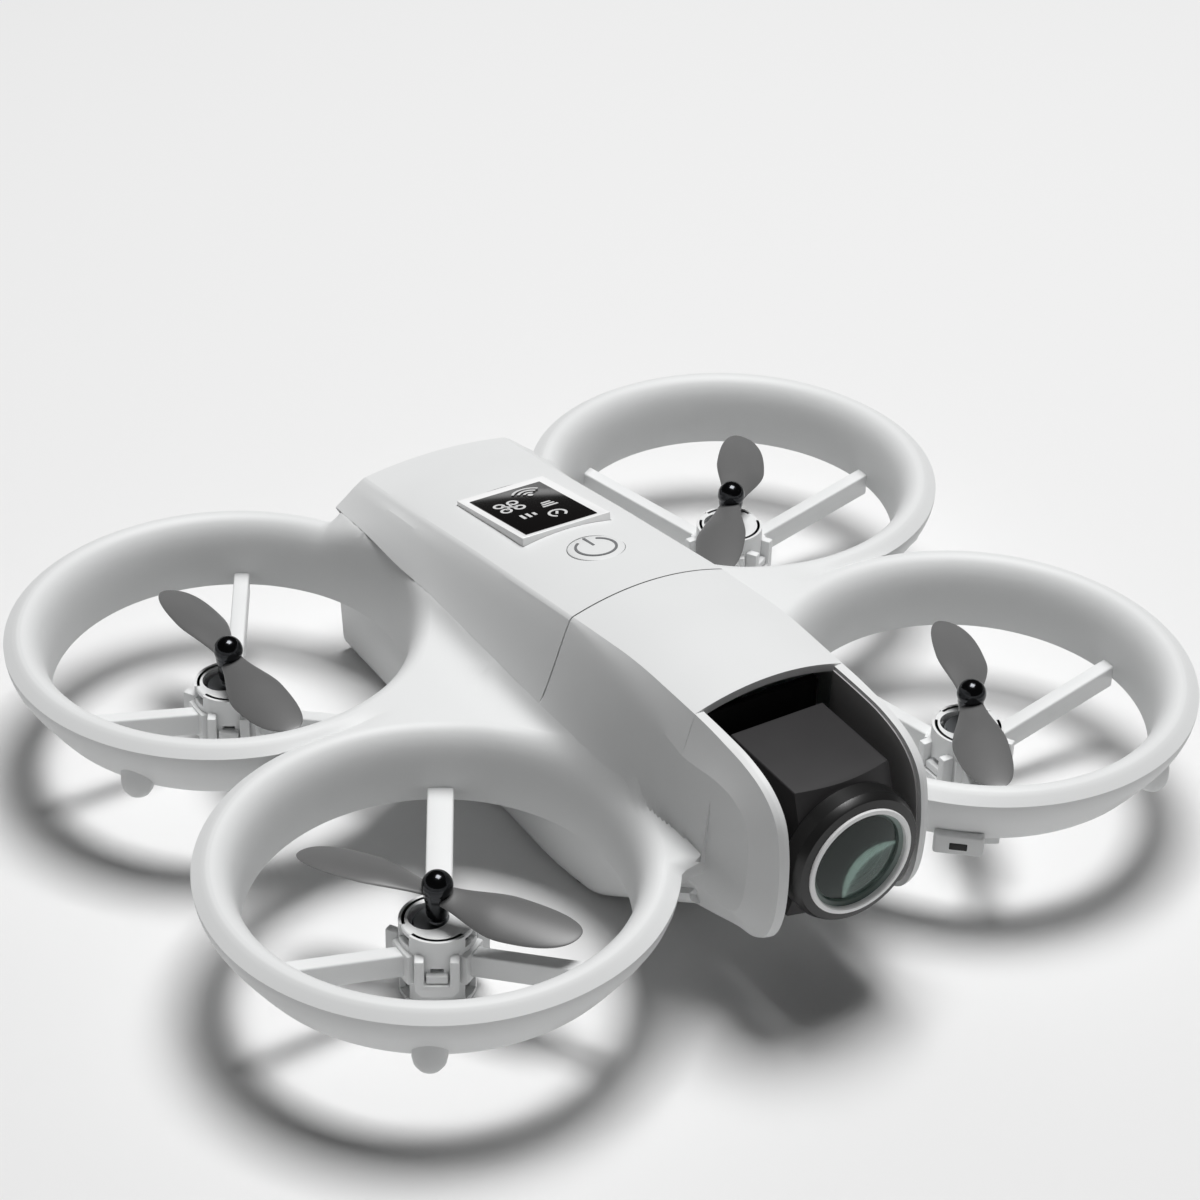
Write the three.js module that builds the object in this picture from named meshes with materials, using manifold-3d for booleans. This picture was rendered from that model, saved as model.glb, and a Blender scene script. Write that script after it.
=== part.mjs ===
// Mini palm drone: four ducted rotors round a wedge-shaped body with a tilting camera in its nose.
// Millimetres, +Z up, front towards -Y. The origin is under the middle of the drone, where its belly rests.
import * as THREE from "three";
import { mergeVertices } from "three/addons/utils/BufferGeometryUtils.js";
import Module from "manifold-3d";

const wasm = await Module();
wasm.setup();

// Driving dimensions
const RING_RADIUS = 33; // outer crease of a duct ring
const DUCT_RADIUS = 26.7; // inner wall of a duct ring
const RING_X = 45.36; // ring centres, from the middle of the drone
const RING_Y = 32.28;
const CREASE_HEIGHT = 22; // height of the rings' outer crease above the belly
const NOSE_REACH = 66.6; // front of the lens, from the rings' middle
const GAP = 0.3; // clearance left between neighbouring pieces
const WALL = 1.4; // moulded wall thickness

const BODY_HALF = 18.6; // half width of the body at ring level
const TOP_HALF = 12.9; // half width of the top surface
const CROWN = 2; // rise of the top surface at its middle
const REAR_Y = 50;
const SEAM_Y = -12.7; // parting line of the rear and front covers
const BAY_Y = -43.3; // rear edge of the camera bay
const BAY_HALF = 10.7;
const BELLY_Z = -CREASE_HEIGHT;
const CHIN_Y = -26.5; // where the belly starts to rise
const LIP_Y = -47.5; // front lip of the chin
const LIP_Z = -9.5;

const BLADE_RADIUS = 21.3;
const ROTOR_Z = -5.3; // blade roots, below the crease plane
const BALL_Z = -3.92;
const BALL_RADIUS = 2.35;
const CAGE_TOP = -9.5;
const CAGE_BOTTOM = -21.7;
const CAGE_RADIUS = 5.4;
const CAN_RADIUS = 3.5;
const SHAFT_RADIUS = 0.5;
const SPOKE_WIDTH = 2.4;
const WIDE_SPOKE = 3.8; // the one that faces rearwards under the front left rotor
const SPOKE_TOP = -7.5;
const SPOKE_BOTTOM = -10.7;
const SPOKE_DROP = 6.2; // how far a spoke falls from the duct wall to the cage

const PIVOT = [0, -54, 6]; // camera tilt hinge
const LENS_Z = 5.5;
const BARREL_RADIUS = 10;
const HOUSING_HALF = 8;
const PIN_RADIUS = 1.5;

const DISPLAY = { y: 19.6, z: 14.25, slope: 0.206, width: 15.2, length: 20.1, rim: 1.43 };
const BUTTON = { y: 1.5, z: 17.25, slope: 0.16, radius: 4.3, depth: 2.6 };

const RINGS = [
  { tag: "fl", x: -1, y: -1, blade: 126, foot: -121 },
  { tag: "fr", x: 1, y: -1, blade: 65, foot: -59 },
  { tag: "rl", x: -1, y: 1, blade: 92, foot: -143 },
  { tag: "rr", x: 1, y: 1, blade: 53, foot: -37 },
];

// Finishes
const finish = (color, roughness, metalness = 0) =>
  new THREE.MeshStandardMaterial({ color, roughness, metalness });
const shellPlastic = () => finish("#d9dadb", 0.55);
const darkPlastic = () => finish("#3c3b3b", 0.45);
const bladePlastic = () => finish("#63656a", 0.5);
const blackGloss = () => finish("#101112", 0.15);
const whitePlastic = () => finish("#f2f2f2", 0.4);
const steel = () => finish("#9a9ca0", 0.3, 1);
const boardGreen = () => finish("#1f5a3c", 0.5);
const cellWrap = () => finish("#2a3440", 0.5);
const lensGlass = () => finish("#6f817c", 0.05);

// Geometry helpers
const radians = THREE.MathUtils.degToRad;
const point = (x, y, z) => new THREE.Vector3(x, y, z);

function signedVolume(geometry) {
  const position = geometry.attributes.position;
  const corner = [point(), point(), point()];
  let volume = 0;
  for (let i = 0; i < geometry.index.count; i += 3) {
    corner.forEach((c, k) => c.fromBufferAttribute(position, geometry.index.getX(i + k)));
    volume += corner[0].dot(corner[1].clone().cross(corner[2])) / 6;
  }
  return volume;
}

// The same surface with shared corners merged and every face pointing out.
function sealed(geometry) {
  const bare = geometry.clone();
  bare.deleteAttribute("normal");
  bare.deleteAttribute("uv");
  const merged = mergeVertices(bare, 1e-4);
  const kept = [];
  const index = merged.index.array;
  for (let i = 0; i < index.length; i += 3) {
    const [a, b, c] = [index[i], index[i + 1], index[i + 2]];
    if (a !== b && b !== c && c !== a) kept.push(a, b, c);
  }
  merged.setIndex(kept);
  if (signedVolume(merged) < 0) merged.setIndex(kept.reverse());
  return merged;
}

function toManifold(geometry) {
  const clean = sealed(geometry);
  return new wasm.Manifold(
    new wasm.Mesh({
      numProp: 3,
      vertProperties: new Float32Array(clean.attributes.position.array),
      triVerts: new Uint32Array(clean.index.array),
    })
  );
}

function toGeometry(manifold) {
  const mesh = manifold.getMesh();
  const geometry = new THREE.BufferGeometry();
  geometry.setAttribute("position", new THREE.BufferAttribute(mesh.vertProperties, 3));
  geometry.setIndex(new THREE.BufferAttribute(mesh.triVerts, 1));
  return geometry;
}

const join = (first, ...others) =>
  toGeometry(others.reduce((solid, g) => solid.add(toManifold(g)), toManifold(first)));
const cut = (first, ...others) =>
  toGeometry(others.reduce((solid, g) => solid.subtract(toManifold(g)), toManifold(first)));

// A box from its lowest to its highest corner.
function block(low, high) {
  const size = high.map((value, i) => value - low[i]);
  const middle = high.map((value, i) => (value + low[i]) / 2);
  return new THREE.BoxGeometry(...size).translate(...middle);
}

// A turned piece: the profile is a list of [radius, height] that closes on itself or on the Z axis.
function turned(profile, sides) {
  const points = profile.map(([r, z]) => new THREE.Vector2(r, z));
  return new THREE.LatheGeometry(points, sides).rotateX(Math.PI / 2);
}

const tube = (inner, outer, low, high, sides) =>
  turned([[inner, low], [outer, low], [outer, high], [inner, high], [inner, low]], sides);
const rod = (radius, low, high, sides) =>
  turned([[0, low], [radius, low], [radius, high], [0, high]], sides);
const alongY = (geometry) => geometry.rotateX(Math.PI / 2);
const alongX = (geometry) => geometry.rotateY(Math.PI / 2);

// A solid through closed loops of matching points, capped at both ends.
function loft(loops, flatten) {
  const count = loops[0].length;
  const faces = [];
  for (let k = 0; k + 1 < loops.length; k++) {
    for (let i = 0; i < count; i++) {
      const [a, b] = [k * count + i, k * count + ((i + 1) % count)];
      faces.push(a, b, b + count, a, b + count, a + count);
    }
  }
  const cap = THREE.ShapeUtils.triangulateShape(loops[0].map(flatten), []);
  const last = (loops.length - 1) * count;
  const front = THREE.ShapeUtils.isClockWise(loops[0].map(flatten));
  for (const [a, b, c] of cap) {
    faces.push(...(front ? [a, b, c] : [c, b, a]));
    faces.push(...(front ? [c, b, a] : [a, b, c]).map((n) => n + last));
  }
  const geometry = new THREE.BufferGeometry();
  geometry.setAttribute("position", new THREE.Float32BufferAttribute(
    loops.flat().flatMap((p) => [p.x, p.y, p.z]), 3));
  geometry.setIndex(faces);
  return geometry;
}

const acrossY = (p) => new THREE.Vector2(p.x, p.z);
const acrossX = (p) => new THREE.Vector2(p.y, p.z);

// Straight-line interpolation through [y, value] knots that run from the rear to the nose.
function along(knots, y) {
  const next = Math.max(1, knots.findIndex(([knot]) => knot <= y));
  const [[y0, v0], [y1, v1]] = [knots[next - 1], knots[next]];
  return v0 + ((v1 - v0) * (y - y0)) / (y1 - y0);
}

// The body's lines
const edgeHeight = (y) =>
  along([[REAR_Y, 7.2], [35.7, 9.3], [16, 12.9], [SEAM_Y, 17.55], [-29, 19.8], [-70, 19.4]], y);
const partHeight = (y) => along([[REAR_Y, 2.9], [SEAM_Y, 2.6], [-29, 0.5], [-70, -6]], y);
const sideWidth = (y) => along([[REAR_Y, BODY_HALF], [-20, BODY_HALF], [BAY_Y, 15.4], [-70, 12]], y);
const edgeBevel = (y) => along([[REAR_Y, 0.5], [SEAM_Y, 0.6], [BAY_Y, 3], [-70, 4]], y);
const floorHeight = (y) => along([[REAR_Y, BELLY_Z], [CHIN_Y, BELLY_Z], [LIP_Y, LIP_Z]], y);

const CROWN_STEPS = [-1, -0.66, -0.33, 0, 0.33, 0.66, 1];

// Section of a top cover, shrunk by inset, from its lower right corner over the top to the left.
function coverSection(y, inset) {
  const top = edgeHeight(y) - inset;
  const low = partHeight(y) - inset;
  const bevel = edgeBevel(y);
  const half = TOP_HALF - inset;
  const side = sideWidth(y) - inset;
  const shoulder = half + ((side - half) * bevel) / (top - low);
  const flat = half - bevel;
  const crowned = CROWN_STEPS.map((t) => point(-t * flat, y, top + CROWN * (1 - t * t)));
  return [point(side, y, low), point(shoulder, y, top - bevel), ...crowned,
    point(-shoulder, y, top - bevel), point(-side, y, low)];
}

const coverSolid = (stations, inset) =>
  loft(stations.map((y) => coverSection(y, inset)), acrossY);

function tilted(geometry, place) {
  return geometry.rotateX(-place.slope).translate(0, place.y, place.z);
}

function rearCover() {
  const stations = [REAR_Y, 35.7, 16, SEAM_Y + GAP / 2];
  const inner = [REAR_Y - WALL, 35.7, 16, SEAM_Y - 2];
  const { width, length } = DISPLAY;
  const window = block([-width / 2 - GAP, -length / 2 - GAP, -6], [width / 2 + GAP, length / 2 + GAP, 6]);
  const buttonHole = rod(BUTTON.radius + GAP, -8, 8, 28);
  return cut(coverSolid(stations, 0), coverSolid(inner, WALL), tilted(window, DISPLAY),
    tilted(buttonHole, BUTTON));
}

// Side outline of a nose plate: over the bay's rear edge, round the nose and back along the chin.
const NOSE_RIM = [
  [-41.5, 19.6], [-55.5, 19.1], [-59.5, 18], [-62.9, 14.8], [-65.5, 9], [-66, 3], [-65, -4],
  [-62.5, -5.4], [-46.5, -9.3], [-46.5, -3.4], [-41.5, -2],
];
const NOSE_PLATE = { outer: 14, chamfer: 0.25, centre: [-45, 5] };

function nosePlate(side) {
  const rim = (x, shrink) =>
    NOSE_RIM.map(([y, z]) => point(side * x,
      y + (NOSE_PLATE.centre[0] - y) * (y < -47 ? shrink : 0),
      z + (NOSE_PLATE.centre[1] - z) * shrink * 0.4));
  const loops = [rim(BAY_HALF, 0), rim(BAY_HALF + 0.5, 0), rim(NOSE_PLATE.outer, NOSE_PLATE.chamfer)];
  return loft(loops, acrossX);
}

function frontCover() {
  const stations = [SEAM_Y - GAP / 2, -20, -29, -36, BAY_Y];
  const inner = [SEAM_Y + 2, -20, -29, -36, BAY_Y - 2];
  const shell = cut(coverSolid(stations, 0), coverSolid(inner, WALL));
  return join(shell, nosePlate(-1), nosePlate(1));
}

// The belly tub: side walls up to the covers, a flat floor and a rising chin, open at the rear.
function lowerShell() {
  const section = (y) => {
    const side = sideWidth(y);
    const top = partHeight(y) - GAP;
    const floor = floorHeight(y);
    const corner = 1.6;
    return [point(side, y, top), point(side, y, floor + corner), point(side - corner, y, floor),
      point(-side + corner, y, floor), point(-side, y, floor + corner), point(-side, y, top),
      point(-side + WALL, y, top), point(-side + WALL, y, floor + WALL),
      point(side - WALL, y, floor + WALL), point(side - WALL, y, top)];
  };
  const tub = loft([REAR_Y - GAP, SEAM_Y, -20, CHIN_Y, -36, LIP_Y + 1.3].map(section), acrossY);
  const screws = SCREWS.map(([x, y]) => rod(SCREW.head + 0.2, -2, SCREW.depth + 0.2, 16)
    .translate(x, y, BELLY_Z));
  const window = block([-WINDOW.half - GAP, WINDOW.y - WINDOW.half - GAP, BELLY_Z - 2],
    [WINDOW.half + GAP, WINDOW.y + WINDOW.half + GAP, BELLY_Z + 5]);
  return cut(tub, window, ...screws);
}

const SCREW = { head: 1.6, depth: 0.9 };
const SCREWS = [[-15, 38], [15, 38], [-15, -22], [15, -22]];
const WINDOW = { y: -16, half: 4 };

// Duct ring, a closed profile about its own axis, trimmed at the waist and where it meets the body.
const RING_PROFILE = [
  [DUCT_RADIUS, -9.7], [DUCT_RADIUS, -7], [26.9, -4], [27.6, -1.2], [28.8, 0.6], [30.3, 1.4],
  [31.6, 0.9], [RING_RADIUS, 0], [RING_RADIUS, -2], [DUCT_RADIUS + 0.7, -9.7], [DUCT_RADIUS, -9.7],
];
const FOOT = { radius: 2.4, at: 28.9, low: -11.5 };

function ductRing(ring) {
  const [x, y] = [ring.x * RING_X, ring.y * RING_Y];
  const turn = radians(ring.foot);
  const foot = turned([[0, FOOT.low], [1.6, FOOT.low + 0.4], [FOOT.radius, FOOT.low + 1.6],
    [FOOT.radius, -4], [0, -4]], 12)
    .translate(FOOT.at * Math.cos(turn), FOOT.at * Math.sin(turn), 0);
  const body = block([-BODY_HALF - GAP, -60, -30], [BODY_HALF + GAP, 60, 30]).translate(-x, -y, 0);
  const beyond = block([-90, -90, -30], [90, 0, 30]).scale(1, ring.y, 1)
    .translate(-x, -y + ring.y * GAP / 2, 0);
  return cut(join(turned(RING_PROFILE, 36), foot), body, beyond);
}

// Motor cage: a cup for the motor can on three spokes that reach the duct wall.
function motorCage(ring) {
  const cup = turned([[1.2, CAGE_BOTTOM], [CAGE_RADIUS, CAGE_BOTTOM], [CAGE_RADIUS, CAGE_TOP],
    [CAN_RADIUS + GAP, CAGE_TOP], [CAN_RADIUS + GAP, CAGE_BOTTOM + 1.2], [1.2, CAGE_BOTTOM + 1.2],
    [1.2, CAGE_BOTTOM]], 18);
  const angles = ring.x < 0 ? [60, 180, -60] : [120, 0, -120];
  const end = (reach, drop, width) =>
    [[-1, SPOKE_BOTTOM], [1, SPOKE_BOTTOM], [1, SPOKE_TOP], [-1, SPOKE_TOP]]
      .map(([side, z]) => point(reach, (side * width) / 2, z - drop));
  const spokes = angles.map((angle) => {
    const width = ring.tag === "fl" && angle === 60 ? WIDE_SPOKE : SPOKE_WIDTH;
    return loft([end(CAGE_RADIUS - 0.4, SPOKE_DROP, width), end(DUCT_RADIUS - 0.6, 0, width)], acrossX)
      .rotateZ(radians(angle));
  });
  const clips = angles.map((angle) =>
    block([CAGE_RADIUS - 0.6, -3.1, -18.3], [CAGE_RADIUS + 1.2, 3.1, -12.1])
      .rotateZ(radians(angle + 60)));
  return join(cup, ...spokes, ...clips);
}

const motorCan = () =>
  turned([[0, CAGE_BOTTOM + 1.6], [CAN_RADIUS - 0.3, CAGE_BOTTOM + 1.6], [CAN_RADIUS, CAGE_BOTTOM + 1.9],
    [CAN_RADIUS, CAGE_TOP - 0.9], [CAN_RADIUS - 0.5, CAGE_TOP - 0.4], [0, CAGE_TOP - 0.4]], 16);

const motorShaft = () => rod(SHAFT_RADIUS, CAGE_TOP - 0.1, BALL_Z - 1.2, 10);

// Half chord, blade angle and rise of the blade along its length, t from 0 at the hub to 1 at the tip.
const halfChord = (t) =>
  (1.1 + 3.65 * THREE.MathUtils.smoothstep(t, 0, 0.55)) * Math.sqrt(Math.max(0.02, 1 - t ** 5));
const bladeAngle = (t) => radians(20 - 11 * t);

function bladeHalf() {
  const section = (t) => {
    const reach = 1.2 + (BLADE_RADIUS - 1.2) * t;
    const thick = 0.55 - 0.25 * t;
    const across = [[-1, 0], [-0.4, thick], [0.45, thick * 0.7], [1, 0], [0.45, -thick * 0.6],
      [-0.4, -thick * 0.6]];
    return across.map(([share, lift]) => {
      const chord = share * halfChord(t);
      const angle = bladeAngle(t);
      return point(reach, chord * Math.cos(angle) - lift * Math.sin(angle),
        chord * Math.sin(angle) + lift * Math.cos(angle));
    });
  };
  return loft([0, 0.12, 0.25, 0.4, 0.55, 0.7, 0.84, 0.94, 1].map(section), acrossX)
    .translate(0, 0, ROTOR_Z);
}

function propeller() {
  const hubTop = BALL_Z - 0.75;
  const hub = turned([[0.8, -7.2], [1.5, -7.2], [2.2, -6.3], [2.25, hubTop], [0.8, hubTop], [0.8, -7.2]], 14);
  return join(hub, bladeHalf(), bladeHalf().rotateZ(Math.PI));
}

// The glossy ball over the hub, cut flat where the propeller's hub begins.
function spinnerCap() {
  const low = Math.asin(-0.45 / BALL_RADIUS);
  const arc = [0, 1, 2, 3, 4].map((n) => {
    const angle = low + ((Math.PI / 2 - low) * n) / 4;
    return [n === 4 ? 0 : BALL_RADIUS * Math.cos(angle), BALL_Z + BALL_RADIUS * Math.sin(angle)];
  });
  return turned([[0, arc[0][1]], ...arc], 16);
}

// Camera head, modelled at its level position
const BARREL_FRONT = -NOSE_REACH + 0.5;

function cameraHousing() {
  const outline = [[-46, -2.5], [-46, 12.5], [-48.5, 16], [-58.5, 16], [-61.2, 13], [-61.2, -2.5]];
  const loops = [-HOUSING_HALF, HOUSING_HALF].map((x) => outline.map(([y, z]) => point(x, y, z)));
  const socket = alongY(rod(6.3, 56, 64, 24)).translate(0, 0, LENS_Z);
  return cut(loft(loops, acrossX), socket);
}

const lensBarrel = () =>
  alongY(turned([[8.2, 61.5], [9.2, 61.5], [BARREL_RADIUS, 62.4], [BARREL_RADIUS, 64.8],
    [9.1, -BARREL_FRONT], [8.2, -BARREL_FRONT], [8.2, 61.5]], 28)).translate(0, 0, LENS_Z);
const lensTrimRing = () =>
  alongY(tube(7.2, 7.9, 62, NOSE_REACH, 28)).translate(0, 0, LENS_Z);
const lensGlassDisc = () =>
  alongY(turned([[0, 63.2], [6.85, 63.2], [6.85, 64.2], [4.5, 65.3], [2, 65.8], [0, 65.9]], 28))
    .translate(0, 0, LENS_Z);
const lensInnerBarrel = () =>
  alongY(turned([[3.2, 57], [6, 57], [6, 62.6], [3.2, 62.6], [3.2, 57]], 24)).translate(0, 0, LENS_Z);
const tiltPin = (side) =>
  alongX(rod(PIN_RADIUS, HOUSING_HALF + GAP, BAY_HALF - GAP, 24)).scale(side, 1, 1)
    .translate(0, PIVOT[1], PIVOT[2]);

// Bracket behind the camera: a back plate with an arm to each tilt pin.
function cameraBracket() {
  const [armIn, armOut] = [HOUSING_HALF + 0.5, BAY_HALF - 0.5];
  const plate = block([-armOut, -40.6, -5.5], [armOut, -39.4, 16]);
  const arms = [-1, 1].map((side) => {
    const arm = [[-39.8, 1.5], [-39.8, 10.5], [PIVOT[1] - 1, PIVOT[2] + 3.2], [PIVOT[1] - 3, PIVOT[2]],
      [PIVOT[1] - 1, PIVOT[2] - 3.2]];
    return loft([armIn, armOut].map((x) => arm.map(([y, z]) => point(side * x, y, z))), acrossX);
  });
  const bore = alongX(rod(PIN_RADIUS + 0.1, -20, 20, 24)).translate(0, PIVOT[1], PIVOT[2]);
  return cut(join(plate, ...arms), bore);
}

// Display, button and what lies under them
function displayBezel() {
  const { width, length, rim } = DISPLAY;
  const frame = block([-width / 2, -length / 2, -2.2], [width / 2, length / 2, 0.25]);
  const hole = block([-width / 2 + rim, -length / 2 + rim, -5], [width / 2 - rim, length / 2 - rim, 5]);
  return tilted(cut(frame, hole), DISPLAY);
}

function displayScreen() {
  const [x, y] = [DISPLAY.width / 2 - DISPLAY.rim - GAP, DISPLAY.length / 2 - DISPLAY.rim - GAP];
  return tilted(block([-x, -y, -1.6], [x, y, -0.05]), DISPLAY);
}

const displayModule = () => tilted(block([-6.6, -9.2, -4.4], [6.6, 9.2, -2.5]), DISPLAY);
const powerButton = () =>
  tilted(turned([[0, -BUTTON.depth], [BUTTON.radius, -BUTTON.depth], [BUTTON.radius, -0.3],
    [BUTTON.radius - 0.3, 0], [0, 0.1]], 28), BUTTON);
const buttonSwitch = () => tilted(block([-3, -3, -6], [3, 3, -BUTTON.depth - 0.8]), BUTTON);

// Battery module, which slides out of the rear, and the electronics
const CAP_Y = REAR_Y - 3.2; // inner face of the battery end cap
const batteryPack = () => block([-13, 2, -19.9], [13, CAP_Y - 0.4, -6.8]);

function batteryEndCap() {
  const side = BODY_HALF - WALL - GAP;
  const cap = block([-side, CAP_Y, BELLY_Z + WALL + GAP], [side, REAR_Y, partHeight(REAR_Y) - GAP - 0.4]);
  const port = block([-4.7, CAP_Y - 3, -17.2], [4.7, REAR_Y + 3, -13.4]);
  const grip = block([-11, REAR_Y - 1.2, -6.5], [11, REAR_Y + 3, -3.5]);
  return cut(cap, port, grip);
}

function usbPort() {
  const shell = block([-4.4, CAP_Y, -16.9], [4.4, REAR_Y - 0.2, -13.7]);
  return cut(shell, block([-3.9, CAP_Y + 1, -16.4], [3.9, REAR_Y + 3, -14.2]));
}

const batteryConnector = () => block([-4, -1.6, -16.5], [4, 1.7, -10.5]);
const mainBoard = () => block([-14, -32, -4.6], [14, 38, -3.4]);
const sensorWindow = () => block([-WINDOW.half, WINDOW.y - WINDOW.half, BELLY_Z + 0.3],
  [WINDOW.half, WINDOW.y + WINDOW.half, BELLY_Z + 1.3]);
const flowSensor = () => block([-2.6, WINDOW.y - 2.6, BELLY_Z + 1.6], [2.6, WINDOW.y + 2.6, BELLY_Z + 4.6]);

function bellyScrew(x, y) {
  const head = rod(SCREW.head, 0.1, SCREW.depth, 16);
  const slots = [0, 90].map((angle) => block([-1, -0.25, -1], [1, 0.25, 0.5]).rotateZ(radians(angle)));
  return cut(head, ...slots).translate(x, y, BELLY_Z);
}

// Assembly
const drone = new THREE.Group();
drone.position.set(0, (NOSE_REACH - RING_Y - RING_RADIUS) / 2, CREASE_HEIGHT);

function place(name, geometry, material, x = 0, y = 0, turn = 0) {
  const mesh = new THREE.Mesh(sealed(geometry), material);
  mesh.name = name;
  mesh.position.set(x, y, 0);
  mesh.rotation.z = radians(turn);
  drone.add(mesh);
}

for (const ring of RINGS) {
  const at = [ring.x * RING_X, ring.y * RING_Y];
  place(`duct_ring_${ring.tag}`, ductRing(ring), shellPlastic(), ...at);
  place(`motor_cage_${ring.tag}`, motorCage(ring), shellPlastic(), ...at);
  place(`motor_can_${ring.tag}`, motorCan(), steel(), ...at);
  place(`motor_shaft_${ring.tag}`, motorShaft(), steel(), ...at);
  place(`propeller_${ring.tag}`, propeller(), bladePlastic(), ...at, ring.blade);
  place(`spinner_cap_${ring.tag}`, spinnerCap(), blackGloss(), ...at);
}

place("lower_shell", lowerShell(), shellPlastic());
place("rear_cover", rearCover(), shellPlastic());
place("front_cover", frontCover(), shellPlastic());
place("display_bezel", displayBezel(), whitePlastic());
place("display_screen", displayScreen(), blackGloss());
place("display_module", displayModule(), boardGreen());
place("power_button", powerButton(), shellPlastic());
place("button_switch", buttonSwitch(), darkPlastic());

place("camera_bracket", cameraBracket(), darkPlastic());
place("camera_housing", cameraHousing(), darkPlastic());
place("lens_barrel", lensBarrel(), darkPlastic());
place("lens_trim_ring", lensTrimRing(), whitePlastic());
place("lens_glass", lensGlassDisc(), lensGlass());
place("lens_inner_barrel", lensInnerBarrel(), darkPlastic());
place("tilt_pin_left", tiltPin(-1), steel());
place("tilt_pin_right", tiltPin(1), steel());

place("battery_pack", batteryPack(), cellWrap());
place("battery_end_cap", batteryEndCap(), shellPlastic());
place("usb_port", usbPort(), steel());
place("battery_connector", batteryConnector(), darkPlastic());
place("main_board", mainBoard(), boardGreen());
place("belly_sensor_window", sensorWindow(), blackGloss());
place("flow_sensor", flowSensor(), darkPlastic());
SCREWS.forEach(([x, y], n) => place(`belly_screw_${n + 1}`, bellyScrew(x, y), steel()));

const model = new THREE.Group();
model.add(drone);
export default model;
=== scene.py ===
"""Looks of the mini palm drone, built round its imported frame.

Shape functions work in millimetres from the middle of the four duct rings, at the height of their
outer crease, with the nose towards -Y. keep() turns a finished mesh to metres in the frame's axes.
"""
import math

import bmesh
import bpy
from mathutils import Matrix, Vector


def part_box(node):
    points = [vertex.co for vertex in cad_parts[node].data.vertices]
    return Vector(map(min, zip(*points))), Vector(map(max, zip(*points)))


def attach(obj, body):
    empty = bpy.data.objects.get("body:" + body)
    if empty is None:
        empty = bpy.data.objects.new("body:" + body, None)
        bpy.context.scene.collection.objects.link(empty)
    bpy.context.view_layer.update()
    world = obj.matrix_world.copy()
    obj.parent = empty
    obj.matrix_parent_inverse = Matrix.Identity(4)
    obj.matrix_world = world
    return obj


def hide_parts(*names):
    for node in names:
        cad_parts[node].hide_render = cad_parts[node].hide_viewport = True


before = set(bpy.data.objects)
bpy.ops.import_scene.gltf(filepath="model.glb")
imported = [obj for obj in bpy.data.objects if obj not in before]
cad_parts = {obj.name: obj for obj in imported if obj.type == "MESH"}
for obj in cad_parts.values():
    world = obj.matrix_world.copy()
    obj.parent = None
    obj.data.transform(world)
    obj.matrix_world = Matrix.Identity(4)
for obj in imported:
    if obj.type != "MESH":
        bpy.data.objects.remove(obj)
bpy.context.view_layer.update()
MM = 0.001

# ---- Sizes, in millimetres ----
ring_low, ring_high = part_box("duct_ring_fl")[0] / MM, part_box("duct_ring_rl")[1] / MM
MIDDLE_Y = (ring_low.y + ring_high.y) / 2
CREASE_RISE = 22  # from the underside of the belly to the outer crease of the rings
CREASE = CREASE_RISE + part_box("lower_shell")[0].z / MM
MIDDLE = Vector((0, MIDDLE_Y, CREASE))

RING_RADIUS = 33.0
DUCT_RADIUS = 26.7
hub_low, hub_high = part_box("spinner_cap_rr")
RING_X = (hub_low.x + hub_high.x) / 2 / MM
RING_Y = (hub_low.y + hub_high.y) / 2 / MM - MIDDLE_Y
# For each ring: its side, its end, the resting turn of its blades and the place of its foot, in degrees.
RINGS = {
    "fl": (-1, -1, 126, -121),
    "fr": (1, -1, 65, -59),
    "rl": (-1, 1, 92, -143),
    "rr": (1, 1, 53, -37),
}

TOP_HALF, NOSE_TOP_HALF = 12.9, 13.5
CROWN, REAR_CROWN = 2.0, 1.1
REAR_Y = 50.0
SEAM_Y = -12.7
SEAM_GAP = 0.3
BAY_Y = -43.3
BAY_HALF = 10.7
BELLY_Z = -CREASE
LENS_Z = 5.5
SKIN = 1.2  # wall of the covers and of the belly tub
TUCK = 0.7  # how far the frame runs in under the covers
WAIST_ANGLE = math.asin(RING_Y / RING_RADIUS)  # where two rings meet, seen from a ring's axis
WEB_HEIGHT = 1.4
BAY_BEVEL = 6.2
RIM_LIP = 1.35
NOSE_MIDDLE = (BAY_Y, 4.0)  # the point the nose plates are drawn round

# Lines of the body from the rear to the nose: top edge, split line, and half width at the split line.
EDGE_HEIGHT = [(REAR_Y, 7.2), (35.7, 9.3), (16, 12.9), (SEAM_Y, 17.55), (-29, 19.7), (-43.3, 19.6),
               (-70, 19.0)]
PART_HEIGHT = [(REAR_Y, 2.9), (SEAM_Y, 2.6), (-29, 1.0), (-46, -2.0), (-70, -6.0)]
SIDE_WIDTH = [(REAR_Y, 17.8), (SEAM_Y, 17.9), (-26, 17.0), (BAY_Y, 14.7), (-70, 13.6)]


def lerp(a, b, t):
    return a + (b - a) * t


def ramp(x, low, high):
    """0 below low, 1 above high, and a smooth rise between them."""
    t = min(1.0, max(0.0, (x - low) / (high - low)))
    return t * t * (3 - 2 * t)


def straight(knots, y):
    """Straight lines through (y, value) knots that run from the rear to the nose."""
    for (y0, v0), (y1, v1) in zip(knots, knots[1:]):
        if y >= y1 or (y1, v1) == knots[-1]:
            return lerp(v0, v1, (y - y0) / (y1 - y0))


def along(knots, y, ease=4.0):
    """The same line with its corners rounded over a length of ease."""
    return sum(straight(knots, y + ease * k / 3) for k in (-3, -2, -1, 0, 1, 2, 3)) / 7


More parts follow.
